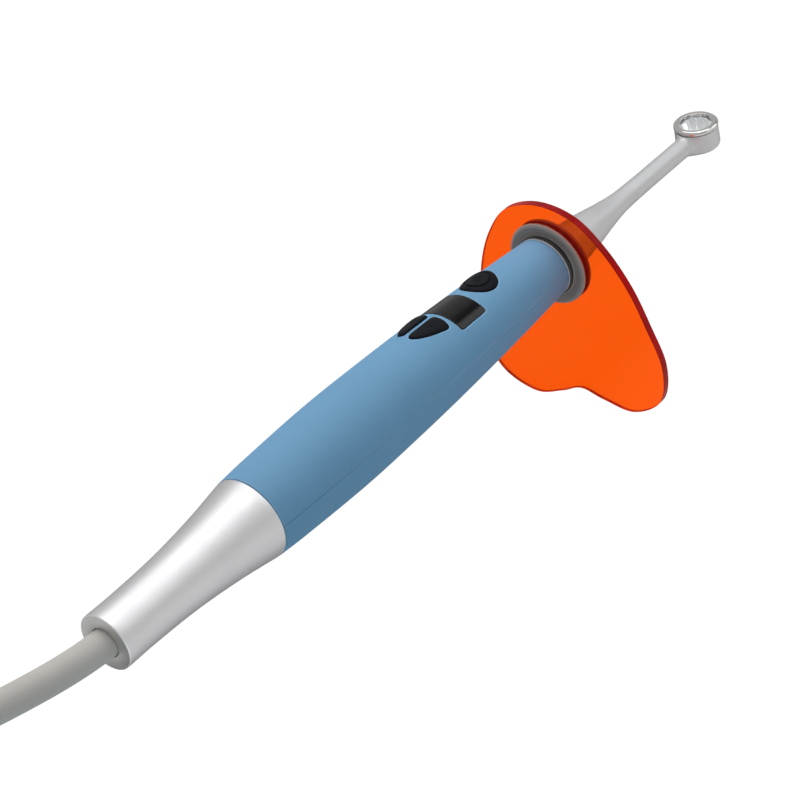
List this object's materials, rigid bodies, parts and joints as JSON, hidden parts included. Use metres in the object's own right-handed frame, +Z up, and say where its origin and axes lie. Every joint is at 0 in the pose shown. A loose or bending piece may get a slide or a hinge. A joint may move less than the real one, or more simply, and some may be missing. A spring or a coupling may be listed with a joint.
{
  "type": "dental curing light",
  "caption": "Slim corded dental curing light: turned handle with display and three buttons, swivelling neck with a lens head, and a slip-on orange eye shield.",
  "frame": {"origin": "middle of the part's footprint at rest, level with the lowest point of the eye shield; the centre of the sleeve's rear end face, on the handle's long axis, is at X -71.2, Y -3.5, Z +38.8 mm", "axes": "+X along the handle toward the light head, +Z out of the side with the buttons and display, +Y to the left when looking along +X with +Z up"},
  "size_m": [0.288, 0.0581, 0.0539],
  "materials": {
    "sleeve_aluminium": "fine bead-blasted, clear anodised satin",
    "neck_aluminium": "fine satin, anodised",
    "blue_shell": "soft matt moulded light blue",
    "cord_grey": "matt silicone cord jacket, mid grey",
    "wire_red": "PVC wire insulation",
    "wire_black": "PVC wire insulation",
    "black_rubber": "matt black rubber",
    "button_rubber": "matt black silicone key cap",
    "grey_silicone": "mid-grey silicone, satin",
    "inner_plastic": "moulded inner carrier",
    "board_green": "solder-masked board",
    "led_board_metal": "metal-core LED board",
    "display_black": "smoked glossy window",
    "display_panel": "display panel",
    "chip_black": "moulded chip package",
    "steel": "plain steel",
    "bush_plastic": "natural acetal",
    "switch_plastic": "switch housing",
    "connector_white": "nylon connector",
    "capacitor_can": "drawn can",
    "ferrite": "ferrite block",
    "bezel_chrome": "polished",
    "lens_clear": "clear moulded lens",
    "reflector_mirror": "metallised reflector",
    "led_yellow": "yellow die under a clear dome; the kind of die is a guess",
    "shield_orange": "transparent orange acrylic, polished edges"
  },
  "bodies": {
    "handle": {"rear_sleeve": "sleeve_aluminium", "cable_jacket": "cord_grey", "core_red": "wire_red", "core_black": "wire_black", "cable_bush": "black_rubber", "cord_clamp": "steel", "rear_coupling": "sleeve_aluminium", "sleeve_seal_ring": "black_rubber", "upper_shell": "blue_shell", "lower_shell": "blue_shell", "display_window": "display_black", "display_module": "display_panel", "chassis": "inner_plastic", "main_board": "board_green", "board_screw_rear": "steel", "board_screw_front": "steel", "controller_chip": "chip_black", "driver_inductor": "ferrite", "capacitor": "capacitor_can", "buzzer": "switch_plastic", "cable_connector": "connector_white", "led_connector": "connector_white", "power_switch": "switch_plastic", "left_switch": "switch_plastic", "right_switch": "switch_plastic", "nose_collar": "steel", "nose_seal_ring": "black_rubber", "swivel_bush": "bush_plastic", "stop_pin": "steel"},
    "power_key": {"power_button": "button_rubber"},
    "left_key": {"left_button": "button_rubber"},
    "right_key": {"right_button": "button_rubber"},
    "neck": {"neck_housing": "neck_aluminium", "retaining_ring": "steel", "neck_seal_ring": "black_rubber", "led_board": "led_board_metal", "led_emitter": "led_yellow", "reflector": "reflector_mirror", "lens": "lens_clear", "lens_bezel": "bezel_chrome", "led_wire_red": "wire_red", "led_wire_black": "wire_black"},
    "grommet": {"shield_grommet": "grey_silicone"},
    "shield": {"light_shield": "shield_orange"}
  },
  "joints": [
    {"name": "power_press", "type": "slide", "parent": "handle", "child": "power_key", "axis": [0, 0, -1], "range_m": [0, 0.00045], "stiffness_N_per_m": 900},
    {"name": "left_press", "type": "slide", "parent": "handle", "child": "left_key", "axis": [0, 0, -1], "range_m": [0, 0.00045], "stiffness_N_per_m": 900},
    {"name": "right_press", "type": "slide", "parent": "handle", "child": "right_key", "axis": [0, 0, -1], "range_m": [0, 0.00045], "stiffness_N_per_m": 900},
    {"name": "neck_swivel", "type": "hinge", "parent": "handle", "child": "neck", "pos_m": [0.0821, -0.0035, 0.0388], "axis": [1, 0, 0], "range_deg": [-120, 120]},
    {"name": "shield_pull_off", "type": "slide", "parent": "handle", "child": "grommet", "axis": [1, 0, 0], "range_m": [0, 0.07]},
    {"name": "shield_turn", "type": "hinge", "parent": "grommet", "child": "shield", "pos_m": [0.0785, -0.0035, 0.0388], "axis": [1, 0, 0], "continuous": true}
  ]
}
